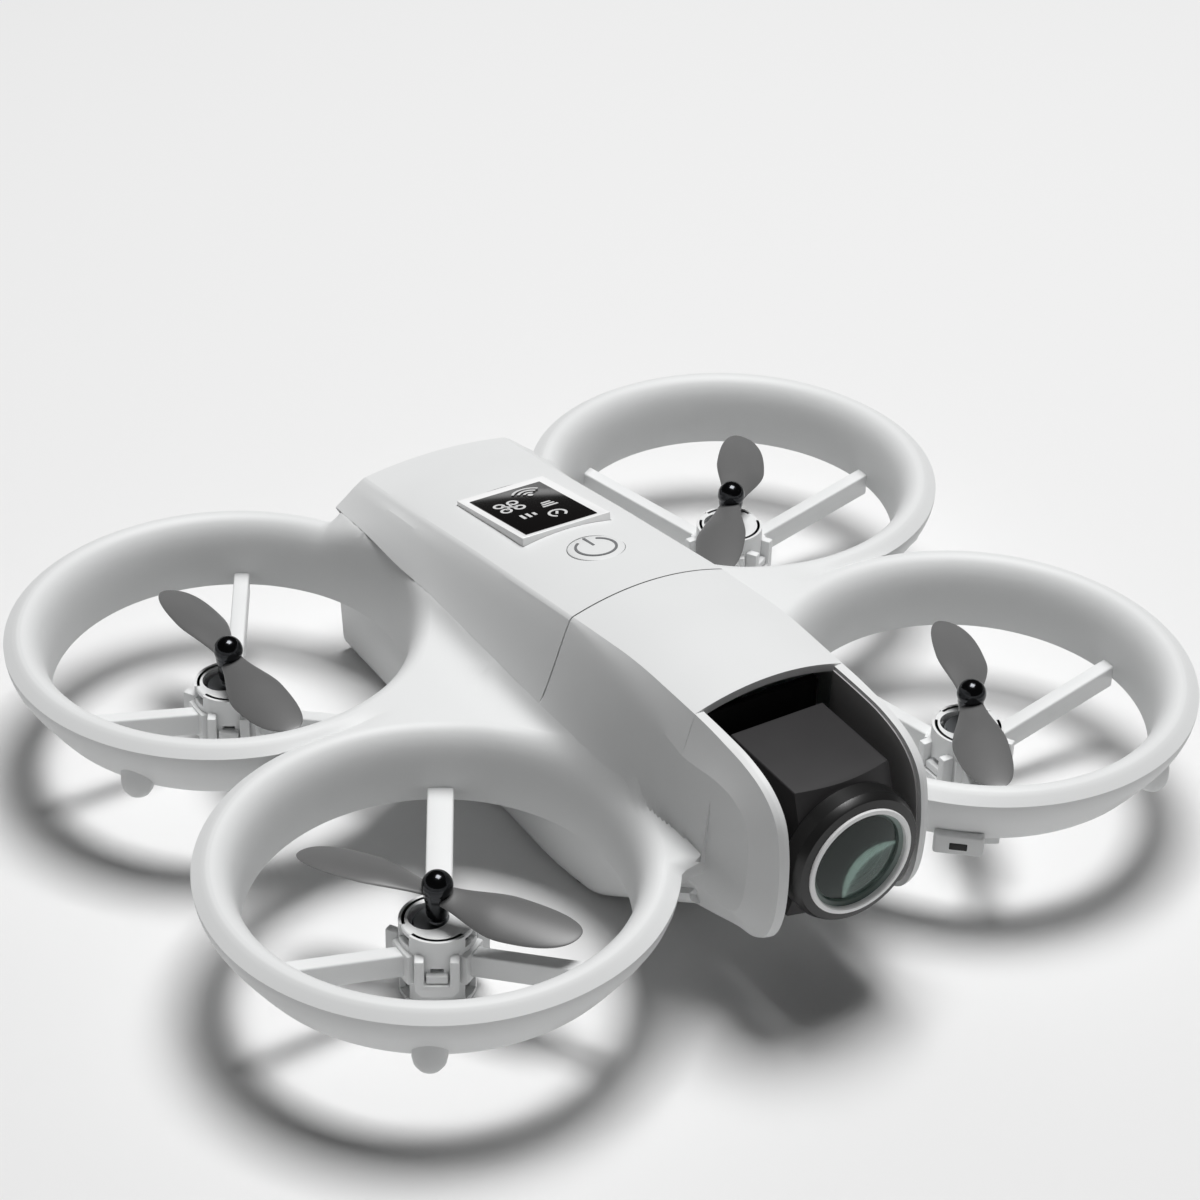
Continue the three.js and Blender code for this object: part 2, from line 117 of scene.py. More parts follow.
# ---- Mesh helpers ----
def sheet(across, along_count, place):
    """A grid of across by along_count faces, with place(u, v) giving each corner for u, v in 0 to 1."""
    bm = bmesh.new()
    bmesh.ops.create_grid(bm, x_segments=across, y_segments=along_count, size=1)
    for v in bm.verts:
        u, w = (v.co.x + 1) / 2, (v.co.y + 1) / 2
        v.co = Vector(place(round(u * across) / across, round(w * along_count) / along_count))
    return bm


def weld(bm, distance=1e-4):
    """Merges doubles, drops faces with no area and turns every face outwards."""
    bmesh.ops.remove_doubles(bm, verts=bm.verts, dist=distance)
    bmesh.ops.dissolve_degenerate(bm, edges=bm.edges, dist=distance / 10)
    bmesh.ops.recalc_face_normals(bm, faces=bm.faces)
    return bm


def turned(profile, steps=48, axis=(0, 0, 1), centre=(0, 0, 0)):
    """Spins a (radius, height) profile round an axis through centre. Heights run along the axis."""
    bm = bmesh.new()
    verts = [bm.verts.new((r, 0, h)) for r, h in profile]
    edges = [bm.edges.new(pair) for pair in zip(verts, verts[1:])]
    bmesh.ops.spin(bm, geom=verts + edges, cent=(0, 0, 0), axis=(0, 0, 1), angle=2 * math.pi,
                   steps=steps, use_merge=True)
    weld(bm)
    turn = Vector((0, 0, 1)).rotation_difference(Vector(axis)).to_matrix()
    bmesh.ops.rotate(bm, verts=bm.verts, cent=(0, 0, 0), matrix=turn)
    bmesh.ops.translate(bm, verts=bm.verts, vec=centre)
    return bm


def block(low, high):
    """A box between two corners."""
    bm = bmesh.new()
    bmesh.ops.create_cube(bm, size=1)
    low, high = Vector(low), Vector(high)
    bmesh.ops.scale(bm, verts=bm.verts, vec=high - low)
    bmesh.ops.translate(bm, verts=bm.verts, vec=(low + high) / 2)
    return bm


def slab(outline, low, high, axis="z"):
    """A flat outline of (a, b) points made thick along an axis: z keeps (x, y), and x takes (y, z)."""
    bm = bmesh.new()
    spot = {"z": lambda a, b, h: (a, b, h), "x": lambda a, b, h: (h, a, b)}[axis]
    face = bm.faces.new([bm.verts.new(spot(a, b, low)) for a, b in outline])
    grown = bmesh.ops.extrude_face_region(bm, geom=[face], use_keep_orig=True)
    lifted = [g for g in grown["geom"] if isinstance(g, bmesh.types.BMVert)]
    bmesh.ops.translate(bm, verts=lifted, vec=Vector(spot(0, 0, high)) - Vector(spot(0, 0, low)))
    return weld(bm)


def soften(bm, width, segments=2, angle=30):
    """Bevels every edge that turns by more than angle degrees."""
    sharp = [e for e in bm.edges if len(e.link_faces) == 2 and e.calc_face_angle() > math.radians(angle)]
    bmesh.ops.bevel(bm, geom=sharp, offset=width, segments=segments, profile=0.5, affect="EDGES",
                    clamp_overlap=True, material=-1)
    return bm


def turn_z(bm, degrees):
    """Turns a mesh about Z."""
    bmesh.ops.rotate(bm, verts=bm.verts, cent=(0, 0, 0), matrix=Matrix.Rotation(math.radians(degrees), 3, "Z"))
    return bm


def move(bm, x=0, y=0, z=0):
    """Moves a mesh."""
    bmesh.ops.translate(bm, verts=bm.verts, vec=(x, y, z))
    return bm


def lean(bm, place):
    """Lays a piece made flat at the origin onto the sloping top."""
    slope = Matrix.Rotation(-place["slope"], 3, "X")
    bmesh.ops.rotate(bm, verts=bm.verts, cent=(0, 0, 0), matrix=slope)
    return move(bm, 0, place["y"], place["z"])


def mirrored(bm, merge=1e-3):
    """Adds the mirror image across the middle plane and joins the two along it."""
    bmesh.ops.mirror(bm, geom=bm.verts[:] + bm.edges[:] + bm.faces[:], matrix=Matrix.Identity(4),
                     merge_dist=merge, axis="X")
    return weld(bm)


def together(*parts):
    """One mesh from several, each left whole."""
    joined = bmesh.new()
    for part in parts:
        mesh = bpy.data.meshes.new("part")
        part.to_mesh(mesh)
        part.free()
        joined.from_mesh(mesh)
        bpy.data.meshes.remove(mesh)
    return joined


def spread(bm):
    """Mean distance of the corners from their middle."""
    middle = sum((v.co for v in bm.verts), Vector()) / len(bm.verts)
    return sum((v.co - middle).length for v in bm.verts) / len(bm.verts)


def thick(bm, wall):
    """Gives an open sheet a wall on its hollow side."""
    bmesh.ops.recalc_face_normals(bm, faces=bm.faces)
    trial = bm.copy()
    before = spread(trial)
    bmesh.ops.solidify(trial, geom=trial.faces[:], thickness=wall)
    side = 1 if spread(trial) < before else -1
    trial.free()
    bmesh.ops.solidify(bm, geom=bm.faces[:], thickness=side * wall)
    return weld(bm)


def carved(bm, *cutters):
    """Cuts closed cutter meshes out of a closed mesh."""
    objects = []
    for n, part in enumerate((bm, *cutters)):
        mesh = bpy.data.meshes.new(f"carving_{n}")
        part.to_mesh(mesh)
        part.free()
        objects.append(bpy.data.objects.new(mesh.name, mesh))
        bpy.context.scene.collection.objects.link(objects[-1])
    for cutter in objects[1:]:
        step = objects[0].modifiers.new(cutter.name, "BOOLEAN")
        step.object = cutter
        step.solver = "EXACT"
    result = bmesh.new()
    result.from_object(objects[0], bpy.context.evaluated_depsgraph_get())
    for piece in objects:
        bpy.data.meshes.remove(piece.data)
    return weld(result)


def keep(bm, name, finish, body, nodes=(), crease=32):
    """Turns a mesh to metres in the frame's axes and hands it over as a finished piece."""
    for face in bm.faces:
        face.smooth = True
    for edge in bm.edges:
        if len(edge.link_faces) == 2:
            edge.smooth = edge.calc_face_angle() < math.radians(crease)
    bmesh.ops.translate(bm, verts=bm.verts, vec=MIDDLE)
    bmesh.ops.scale(bm, verts=bm.verts, vec=(MM, MM, MM))
    mesh = bpy.data.meshes.new(name)
    bm.to_mesh(mesh)
    bm.free()
    piece = bpy.data.objects.new(name, mesh)
    bpy.context.scene.collection.objects.link(piece)
    mesh.materials.append(finish)
    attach(piece, body)
    if nodes:
        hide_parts(*nodes)


# ---- Materials ----
def linear(hex_code):
    """An sRGB hex colour as linear RGBA."""
    parts = [int(hex_code[i:i + 2], 16) / 255 for i in (1, 3, 5)]
    return (*[c / 12.92 if c <= 0.04045 else ((c + 0.055) / 1.055) ** 2.4 for c in parts], 1)


def add(tree, kind, settings=None, **links):
    """Adds a node, sets its properties and inputs, and links sockets given as input=output."""
    node = tree.nodes.new(kind)
    for key, value in (settings or {}).items():
        if hasattr(node, key):
            setattr(node, key, value)
        else:
            node.inputs[key].default_value = value
    for key, output in links.items():
        tree.links.new(output, node.inputs[key])
    return node


def moulded(name, hex_code, roughness, grain_mm=0.35, relief=0.08, spread=0.04, coat=0.0):
    """Moulded plastic: an even colour with a faint mottling, and the fine spark texture of the tool."""
    material = bpy.data.materials.new(name)
    material.use_nodes = True
    tree = material.node_tree
    tree.nodes.clear()
    out = tree.nodes.new("ShaderNodeOutputMaterial")
    place = add(tree, "ShaderNodeTexCoord")
    cloud = add(tree, "ShaderNodeTexNoise", {"Scale": 1 / (14 * MM), "Detail": 3.0}, Vector=place.outputs["Object"])
    grain = add(tree, "ShaderNodeTexNoise", {"Scale": 1 / (grain_mm * MM), "Detail": 2.0},
                Vector=place.outputs["Object"])
    base = linear(hex_code)
    low = tuple(c * (1 - spread) for c in base[:3]) + (1,)
    high = tuple(min(1, c * (1 + spread)) for c in base[:3]) + (1,)
    tint = add(tree, "ShaderNodeMix", {"data_type": "RGBA"})
    tint.inputs[6].default_value = low
    tint.inputs[7].default_value = high
    tree.links.new(cloud.outputs["Fac"], tint.inputs[0])
    rough = add(tree, "ShaderNodeMapRange", {"To Min": roughness - 0.05, "To Max": roughness + 0.05},
                Value=cloud.outputs["Fac"])
    bump = add(tree, "ShaderNodeBump", {"Strength": relief, "Distance": 0.05 * MM}, Height=grain.outputs["Fac"])
    bsdf = add(tree, "ShaderNodeBsdfPrincipled", {"IOR": 1.5, "Coat Weight": coat},
               Roughness=rough.outputs["Result"], Normal=bump.outputs["Normal"])
    tree.links.new(tint.outputs[2], bsdf.inputs["Base Color"])
    tree.links.new(bsdf.outputs["BSDF"], out.inputs["Surface"])
    return material


def brushed(name, hex_code, roughness, line_mm=0.12, stretch=(1, 1, 0.08)):
    """Drawn or turned metal: fine lines run round the part, and gloss varies from line to line."""
    material = bpy.data.materials.new(name)
    material.use_nodes = True
    tree = material.node_tree
    tree.nodes.clear()
    out = tree.nodes.new("ShaderNodeOutputMaterial")
    place = add(tree, "ShaderNodeTexCoord")
    run = add(tree, "ShaderNodeMapping", {"Scale": stretch}, Vector=place.outputs["Object"])
    lines = add(tree, "ShaderNodeTexNoise", {"Scale": 1 / (line_mm * MM), "Detail": 2.0},
                Vector=run.outputs["Vector"])
    rough = add(tree, "ShaderNodeMapRange", {"To Min": roughness - 0.08, "To Max": roughness + 0.1},
                Value=lines.outputs["Fac"])
    bump = add(tree, "ShaderNodeBump", {"Strength": 0.1, "Distance": 0.02 * MM}, Height=lines.outputs["Fac"])
    bsdf = add(tree, "ShaderNodeBsdfPrincipled", {"Base Color": linear(hex_code), "Metallic": 1.0},
               Roughness=rough.outputs["Result"], Normal=bump.outputs["Normal"])
    tree.links.new(bsdf.outputs["BSDF"], out.inputs["Surface"])
    return material


# Spark-textured ABS: light grey and matte, with soft highlights.
SHELL_ABS = moulded("shell_abs_light_grey", "#E4E5E5", 0.5, grain_mm=0.3, relief=0.05, spread=0.012)
# The same ABS in charcoal, for the camera head.
CAMERA_ABS = moulded("camera_abs_charcoal", "#302F30", 0.42, grain_mm=0.3, relief=0.1, spread=0.06)
# Black ABS lining of the camera bay, which keeps stray light off the lens.
BAY_ABS = moulded("bay_lining_black_abs", "#232323", 0.6, grain_mm=0.35, relief=0.12, spread=0.08)
# Mid-grey sheet on the inner faces of the nose plates: painted shade, standing in for the shade on the light shell
# inside the camera bay.
PAINTED_PLATE_SHADE = moulded("plate_inner_painted_shade", "#B4B3B3", 0.55, grain_mm=0.35, relief=0.08, spread=0.05)
# Satin black hood round the lens.
BARREL_SATIN = moulded("barrel_satin_black", "#1B1B1B", 0.33, grain_mm=0.25, relief=0.06, spread=0.05)
# Glass-filled polypropylene: grey blades with a slight sheen and flow marks.
BLADE_PP = moulded("blade_polypropylene_grey", "#666666", 0.38, grain_mm=0.5, relief=0.06, spread=0.07)
# White polished trim of the display and of the lens ring.
TRIM_WHITE = moulded("trim_white_gloss", "#FBFBFB", 0.25, grain_mm=0.4, relief=0.02, spread=0.01)
# Polished black acrylic over the display and the belly sensor.
DISPLAY_ACRYLIC = moulded("display_black_acrylic", "#0C0A0A", 0.12, grain_mm=2.0, relief=0.01, spread=0.1)
# Ink printed on the display's glass.
ICON_INK = moulded("icon_white_ink", "#D9D9D9", 0.5, grain_mm=0.2, relief=0.03, spread=0.05)
# Grey pad-printed mark on the button.
MARK_INK = moulded("mark_grey_ink", "#77787A", 0.5, grain_mm=0.2, relief=0.03, spread=0.05)
# Black-chromed acorn nut, mirror bright.
SPINNER_CHROME = brushed("spinner_black_chrome", "#3A3B3D", 0.14, line_mm=0.8)
SHAFT_STEEL = brushed("shaft_ground_steel", "#5A5B5E", 0.3)
CAN_STEEL = brushed("motor_can_drawn_steel", "#8C8E91", 0.32)
SCREW_STEEL = brushed("screw_zinc_steel", "#7E8084", 0.35, line_mm=0.2)
# Green solder mask over a glass-epoxy board.
BOARD_MASK = moulded("board_green_solder_mask", "#1F5A3C", 0.4, grain_mm=1.2, relief=0.15, spread=0.15)
# Dark heat-shrink sleeve round the cell.
CELL_SLEEVE = moulded("cell_heat_shrink_sleeve", "#2A3440", 0.35, grain_mm=1.5, relief=0.2, spread=0.08)


def optical_glass():
    """Coated lens glass: mostly clear, with a mirror reflection that grows towards the edge and a green-grey coat."""
    material = bpy.data.materials.new("lens_coated_glass")
    material.use_nodes = True
    tree = material.node_tree
    tree.nodes.clear()
    out = tree.nodes.new("ShaderNodeOutputMaterial")
    place = add(tree, "ShaderNodeTexCoord")
    haze = add(tree, "ShaderNodeTexNoise", {"Scale": 1 / (6 * MM), "Detail": 2.0}, Vector=place.outputs["Object"])
    rough = add(tree, "ShaderNodeMapRange", {"To Min": 0.02, "To Max": 0.07}, Value=haze.outputs["Fac"])
    clear = add(tree, "ShaderNodeBsdfTransparent", {"Color": linear("#E4E9E7")})
    coat = add(tree, "ShaderNodeBsdfGlossy", {"Color": linear("#D6DFDC")}, Roughness=rough.outputs["Result"])
    facing = add(tree, "ShaderNodeFresnel", {"IOR": 1.6})
    mixed = add(tree, "ShaderNodeMixShader")
    tree.links.new(facing.outputs["Fac"], mixed.inputs["Fac"])
    tree.links.new(clear.outputs["BSDF"], mixed.inputs[1])
    tree.links.new(coat.outputs["BSDF"], mixed.inputs[2])
    tree.links.new(mixed.outputs["Shader"], out.inputs["Surface"])
    return material


LENS_GLASS = optical_glass()
# Grey-green baffle with steps, which the lens elements sit in.
LENS_CONE = moulded("lens_inner_coated_baffle", "#74837E", 0.3, grain_mm=0.8, relief=0.05, spread=0.12)
# Green-grey antireflection coating on the inner element.
LENS_COATED = moulded("lens_coated_dome", "#A9B6B2", 0.08, grain_mm=3.0, relief=0.01, spread=0.25, coat=1.0)
# Satin silver wire rings that hold the elements.
LENS_SATIN = moulded("lens_retainer_satin_silver", "#D4D8D6", 0.3, grain_mm=0.5, relief=0.03, spread=0.05)


# ---- Body surfaces ----
def nose_share(y):
    """0 back to the seam and 1 at the camera bay."""
    return min(1.0, max(0.0, (SEAM_Y - y) / (SEAM_Y - BAY_Y)))


def crown(y):
    """Rise of the top surface at its middle, less at the rear end."""
    return lerp(CROWN, REAR_CROWN, ramp(y, 36, REAR_Y))


def top_inner(y):
    """Half width of the top surface, which narrows as the edge bevel grows towards the camera bay."""
    return lerp(TOP_HALF - 0.35, BAY_HALF + RIM_LIP, nose_share(y))


def side_top(y):
    """Half width of the body's side plane at the height of the top edge."""
    return lerp(TOP_HALF, NOSE_TOP_HALF, nose_share(y))


def bevel_drop(y):
    """Height taken by the edge bevel."""
    return lerp(0.5, BAY_BEVEL, nose_share(y))


def side_x(y, z):
    """Outer face of the body's side at a height, without fillet."""
    edge, part = along(EDGE_HEIGHT, y), along(PART_HEIGHT, y)
    return side_top(y) + (along(SIDE_WIDTH, y) - side_top(y)) * (edge - z) / (edge - part)


def side_height(x, y):
    """Height of the body's side plane over a point, continued outwards and down."""
    edge, part = along(EDGE_HEIGHT, y), along(PART_HEIGHT, y)
    return edge - (abs(x) - side_top(y)) * (edge - part) / (along(SIDE_WIDTH, y) - side_top(y))


def blend_up(a, b, radius):
    """The higher of two heights, with a hollow fillet of about radius where they meet."""
    return (a + b) / 2 + math.sqrt(((a - b) / 2) ** 2 + radius ** 2)


def frame_height(x, y):
    """Height of the ring's throat or of the web at a point, before the fillet against the body."""
    r = math.hypot(abs(x) - RING_X, abs(y) - RING_Y)
    return ring_height(max(r, DUCT_RADIUS)) if r < RING_TOP[CREST][0] else WEB_HEIGHT


def fillet_radius(y):
    """Radius of the hollow fillet between the body's side and the frame, small at both ends."""
    return lerp(0.2, 2.3, ramp(y, BAY_Y, -28)) * lerp(1, 0.4, ramp(y, 34, REAR_Y))


def body_height(x, y):
    """Height of the moulded skin beside the body: side plane, fillet and web between the rings."""
    return blend_up(side_height(x, y), frame_height(x, y), fillet_radius(y))


def split_x(y):
    """Where the covers end and the duct frame begins."""
    return along(SIDE_WIDTH, y)


SHELL_STEPS = {"top": 18, "bevel": 3, "side": 9}


def cover_point(u, y):
    """Skin of a cover: u from 0 at the left split line over the top to 1 at the right one."""
    steps = sum(SHELL_STEPS.values())
    n = abs(2 * u - 1) * steps
    sign = -1 if u < 0.5 else 1
    edge, inner, drop = along(EDGE_HEIGHT, y), top_inner(y), bevel_drop(y)
    shoulder = side_x(y, edge - drop)
    if n <= SHELL_STEPS["top"]:
        t = n / SHELL_STEPS["top"]
        return sign * t * inner, y, edge + crown(y) * (1 - t * t)
    if n <= SHELL_STEPS["top"] + SHELL_STEPS["bevel"]:
        t = (n - SHELL_STEPS["top"]) / SHELL_STEPS["bevel"]
        bulge = 0.25 * drop * t * (1 - t) * (1 - nose_share(y))
        return sign * (lerp(inner, shoulder, t) + bulge), y, edge - drop * t + bulge
    t = (n - SHELL_STEPS["top"] - SHELL_STEPS["bevel"]) / SHELL_STEPS["side"]
    x = lerp(shoulder, split_x(y), t)
    z = lerp(edge - drop, body_height(split_x(y), y), t)
    plain = side_height(x, y)
    return sign * x, y, lerp(z, blend_up(plain, frame_height(x, y), fillet_radius(y)), ramp(t, 0, 0.3))


DISPLAY = {"y": 19.6, "z": 14.25, "slope": 0.206, "width": 15.2, "length": 20.1, "rim": 1.43}
BUTTON = {"y": 1.5, "z": 17.25, "slope": 0.16, "radius": 4.3}


def rear_cover():
    """The rear cover: a crowned top, two sides and a rounded rear wall, in one skin."""
    rows = 60
    wall_rows = 6
    front = SEAM_Y + SEAM_GAP / 2

    def place(u, v):
        n = v * (rows + wall_rows)
        if n >= wall_rows:
            return cover_point(u, lerp(REAR_Y, front, (n - wall_rows) / rows))
        x, y, z = cover_point(u, REAR_Y)
        t = 1 - n / wall_rows
        return x * (1 - 0.02 * t), y + 0.5 * math.sin(t * math.pi / 2), lerp(z, min(z, 2.5), t)

    steps = 2 * sum(SHELL_STEPS.values())
    skin = thick(sheet(steps, rows + wall_rows, place), SKIN)
    half_w, half_l = DISPLAY["width"] / 2 + 0.08, DISPLAY["length"] / 2 + 0.08
    window = lean(block((-half_w, -half_l, -6), (half_w, half_l, 6)), DISPLAY)
    hole = BUTTON["radius"] + 0.07
    round_hole = turned([(0, -6), (hole, -6), (hole, 6), (0, 6)], 72)
    return carved(skin, window, lean(round_hole, BUTTON))


NOSE_RIM = [(BAY_Y, 19.6), (-49.5, 19.5), (-54.8, 19.1), (-59.8, 17.6), (-63.2, 14.6), (-64.6, 9.9), (-64.9, 4.0),
            (-64.3, -1.4), (-62.6, -5.2), (-59.8, -7.2), (-56.3, -8.0), (-50.3, -10.0), (BAY_Y, -12.2)]


def rim_point(t):
    """A point of the nose outline, rounded through its knots; t from 0 at the top to 1 at the chin."""
    spans = len(NOSE_RIM) - 1
    k = min(int(t * spans), spans - 1)
    s = t * spans - k
    p = [NOSE_RIM[min(max(i, 0), spans)] for i in (k - 1, k, k + 1, k + 2)]
    return [0.5 * (2 * p[1][i] + (p[2][i] - p[0][i]) * s
                   + (2 * p[0][i] - 5 * p[1][i] + 4 * p[2][i] - p[3][i]) * s * s
                   + (3 * p[1][i] - p[0][i] - 3 * p[2][i] + p[3][i]) * s ** 3) for i in (0, 1)]


def nose_plate():
    """The right-hand side plate beside the camera: flat inside, with a wide chamfer round its rim."""
    around, rings, lip_rings = 96, 22, 2
    chamfer_end = 0.3
    centre = NOSE_MIDDLE

    def place(u, v):
        y, z = rim_point(u)
        n = v * rings
        span = math.hypot(y - centre[0], z - centre[1])
        lip = 0.35 * ramp(u, 0.02, 0.15) / span
        if n <= lip_rings:
            t = n / lip_rings
            share = lip * t ** 2
            return lerp(BAY_HALF, BAY_HALF + RIM_LIP, t), lerp(y, centre[0], share), lerp(z, centre[1], share)
        reach = (n - lip_rings) / (rings - lip_rings)
        chamfer_share = min(0.9, lerp(BAY_BEVEL, 5.2, ramp(u, 0.1, 0.45)) / span)
        if reach < chamfer_end:
            share = lerp(lip, chamfer_share, reach / chamfer_end)
        else:
            share = lerp(chamfer_share, 1, (reach - chamfer_end) / (1 - chamfer_end))
        y, z = lerp(y, centre[0], share), lerp(z, centre[1], share)
        flat = side_x(y, z) if z > 0 else lerp(side_x(y, 0), 13.6, ramp(-z, 0, 8))
        return lerp(BAY_HALF + RIM_LIP, flat, min(1, (share - lip) / (chamfer_share - lip))), y, z

    outer = sheet(around, rings, place)

    def inner_place(u, v):
        y, z = rim_point(u)
        return BAY_HALF, lerp(y, centre[0], v), lerp(z, centre[1], v)

    inner = sheet(around, 4, inner_place)
    both = weld(together(outer, inner), 1e-3)
    bmesh.ops.holes_fill(both, edges=[e for e in both.edges if e.is_boundary], sides=0)
    return weld(both)


def front_cover():
    """The front cover: the shell behind the camera bay and the two plates beside the camera."""
    rows = 40
    rear = SEAM_Y - SEAM_GAP / 2
    steps = 2 * sum(SHELL_STEPS.values())
    shell = thick(sheet(steps, rows, lambda u, v: cover_point(u, lerp(rear, BAY_Y, v))), SKIN)
    plates = mirrored(nose_plate(), merge=0)
    return together(shell, plates)


# ---- Duct frame ----
RING_TOP = [(26.7, -9.7), (26.7, -8.6), (26.7, -7.0), (26.75, -5.5), (26.9, -4.0), (27.2, -2.5), (27.6, -1.2),
            (28.15, -0.15), (28.8, 0.62), (29.5, 1.12), (30.3, 1.4), (31.0, 1.3), (31.6, 0.98), (32.3, 0.5),
            (33.0, 0.0)]
RING_UNDER = [(32.98, -0.5), (32.85, -1.3), (32.45, -2.5), (31.6, -4.0), (30.5, -5.7), (29.2, -7.6), (28.1, -9.1),
              (27.5, -9.7), (27.0, -9.85), (26.7, -9.7)]
WALL_ROWS = 2  # the last of RING_TOP's points on the straight wall of the duct
CREST = 10  # the highest of RING_TOP's points
WEB_STEPS = 14


def ring_height(r):
    """Height of the ring's top at a distance from its axis."""
    return straight(RING_TOP[:1:-1], r)


OUT_OF_REACH = 1e9


def ring_reach(angle, rear):
    """Distance from the ring's axis to the frame's edge: the crease, the body's side or the waist."""
    c, s = math.cos(angle), math.sin(angle)
    waist = RING_Y / s if s > 0.3 else OUT_OF_REACH
    side = OUT_OF_REACH
    if c > 0.2:
        side = RING_RADIUS
        for _ in range(5):  # settles on the point where the ray meets the body's curved side
            y = -RING_Y + side * s
            side = (RING_X - split_x(-y if rear else y) + TUCK) / c
    web = min(side, waist)
    free = min(RING_RADIUS, waist)
    return lerp(free, web, body_share(angle)) if angle < WAIST_ANGLE else free


def body_share(angle):
    """0 before the body's end and 1 beside the body."""
    return ramp(angle, math.radians(-34), math.radians(-29.5))


def web_share(angle):
    """1 where the frame runs on into the web or the body, 0 where the ring stands free."""
    return body_share(angle) * (1 - ramp(angle, math.radians(70), math.radians(92)))


def quarter_frame(rear):
    """One quarter of the duct frame, made as the front left ring with its web, seen from its axis."""
    around = 240
    top_count = CREST + 1 + WEB_STEPS
    total = top_count + len(RING_UNDER) - 1

    def place(u, v):
        angle = -math.pi + 2 * math.pi * v
        reach = ring_reach(angle, rear)
        web = web_share(angle)
        n = round(u * total)
        if n < top_count:
            t = max(0.0, (n - CREST) / WEB_STEPS)
            r = lerp(RING_TOP[CREST][0], RING_RADIUS, t) if t else RING_TOP[n][0]
            far = lerp(RING_TOP[CREST][0], reach, t) if t and reach >= RING_RADIUS else min(r, reach)
            z = ring_height(min(r, reach)) if n > WALL_ROWS else RING_TOP[n][1]
            z = lerp(z, WEB_HEIGHT, web * ramp(t, 0, 0.1))
        else:
            r, z = RING_UNDER[n - top_count]
            far = min(r, reach)
            if reach > RING_RADIUS:
                far += (reach - RING_RADIUS) * ramp(z, -2.6, -2.4)
        x, y = -RING_X + far * math.cos(angle), -RING_Y + far * math.sin(angle)
        real_y = -y if rear else y
        if WALL_ROWS + 1 < n < top_count:
            lifted = blend_up(side_height(x, real_y), z, fillet_radius(real_y))
            near = ramp(-abs(x), -31, -24) * ramp(n, 3, 8) * body_share(angle)
            z = lerp(z, lifted, near)
            z -= 0.45 * ramp(split_x(real_y) - abs(x), 0, TUCK)
        return x, y, z

    bm = sheet(total, around, place)
    weld(bm, 2e-3)
    flat = [f for f in bm.faces if all(abs(v.co.y) < 0.02 for v in f.verts)]
    bmesh.ops.delete(bm, geom=flat, context="FACES")
    return bm


def duct_frame():
    """Four duct rings in one moulding with the webs that join them to the body."""
    front = quarter_frame(False)
    rear = quarter_frame(True)
    bmesh.ops.scale(rear, verts=rear.verts, vec=(1, -1, 1))
    for v in front.verts[:] + rear.verts[:]:
        if abs(v.co.y) < 0.02:
            v.co.y = 0
    left = weld(together(front, rear), 5e-3)
    return mirrored(left, merge=0)


def ring_foot(tag):
    """A domed stub under a ring."""
    sx, sy, _, angle = RINGS[tag]
    at = 28.7
    bm = turned([(0, -11.0), (0.9, -10.85), (1.7, -10.4), (2.2, -9.6), (2.4, -8.6), (2.35, -7.0), (2.0, -5.4),
                 (0, -5.4)], 32)
    a = math.radians(angle)
    return move(bm, sx * RING_X + at * math.cos(a), sy * RING_Y + at * math.sin(a))


STRAP_TURN = -130  # where the boss sits round its ring, in degrees


def strap_boss():
    """A boss under the front right ring, for a lanyard."""
    return turn_z(soften(block((27.4, -3.6, -10.9), (30.5, 3.6, -7.4)), 0.5, 3), STRAP_TURN)


def strap_slot_shade():
    """A dark patch on the lanyard boss: painted shade standing in for the slot's mouth."""
    return turn_z(soften(block((29.9, -1.3, -9.9), (30.6, 1.3, -8.7)), 0.15, 2), STRAP_TURN)


# ---- Lower shell, battery end cap and belly ----
FLOOR = [(REAR_Y + 5, BELLY_Z), (-26.5, BELLY_Z), (-47.5, -9.9), (-60, -2.4)]
LOWER_HALF = [(REAR_Y + 5, 18.3), (-18, 18.3), (-47.5, 14.2), (-60, 12)]


def raked(y, z):
    """The rear end leans forwards below the covers."""
    return y - 0.13 * max(0.0, -3 - z) * ramp(y, 30, REAR_Y)


def lower_shell():
    """The belly tub, with rounded lower corners and a rising chin."""
    rows = 70
    front = -47.2
    corner = 2.6
    floor_steps = 6
    turn_steps = 6
    side_steps = 8
    total = floor_steps + turn_steps + side_steps

    def place(u, v):
        y = lerp(REAR_Y - 0.3, front, v)
        half = along(LOWER_HALF, y, 3)
        floor = along(FLOOR, y, 1.6)
        n = abs(2 * u - 1) * total
        sign = -1 if u < 0.5 else 1
        top = min(-0.6, along(PART_HEIGHT, y) - 2)
        if n <= floor_steps:
            return sign * (half - corner) * n / floor_steps, raked(y, floor), floor
        if n <= floor_steps + turn_steps:
            a = (n - floor_steps) / turn_steps * math.pi / 2
            z = floor + corner * (1 - math.cos(a))
            return sign * (half - corner + corner * math.sin(a)), raked(y, z), z
        z = lerp(floor + corner, top, (n - floor_steps - turn_steps) / side_steps)
        return sign * lerp(half, half - 0.9, ramp(z, -10.5, -9.5)), raked(y, z), z

    return thick(sheet(2 * total, rows, place), SKIN)


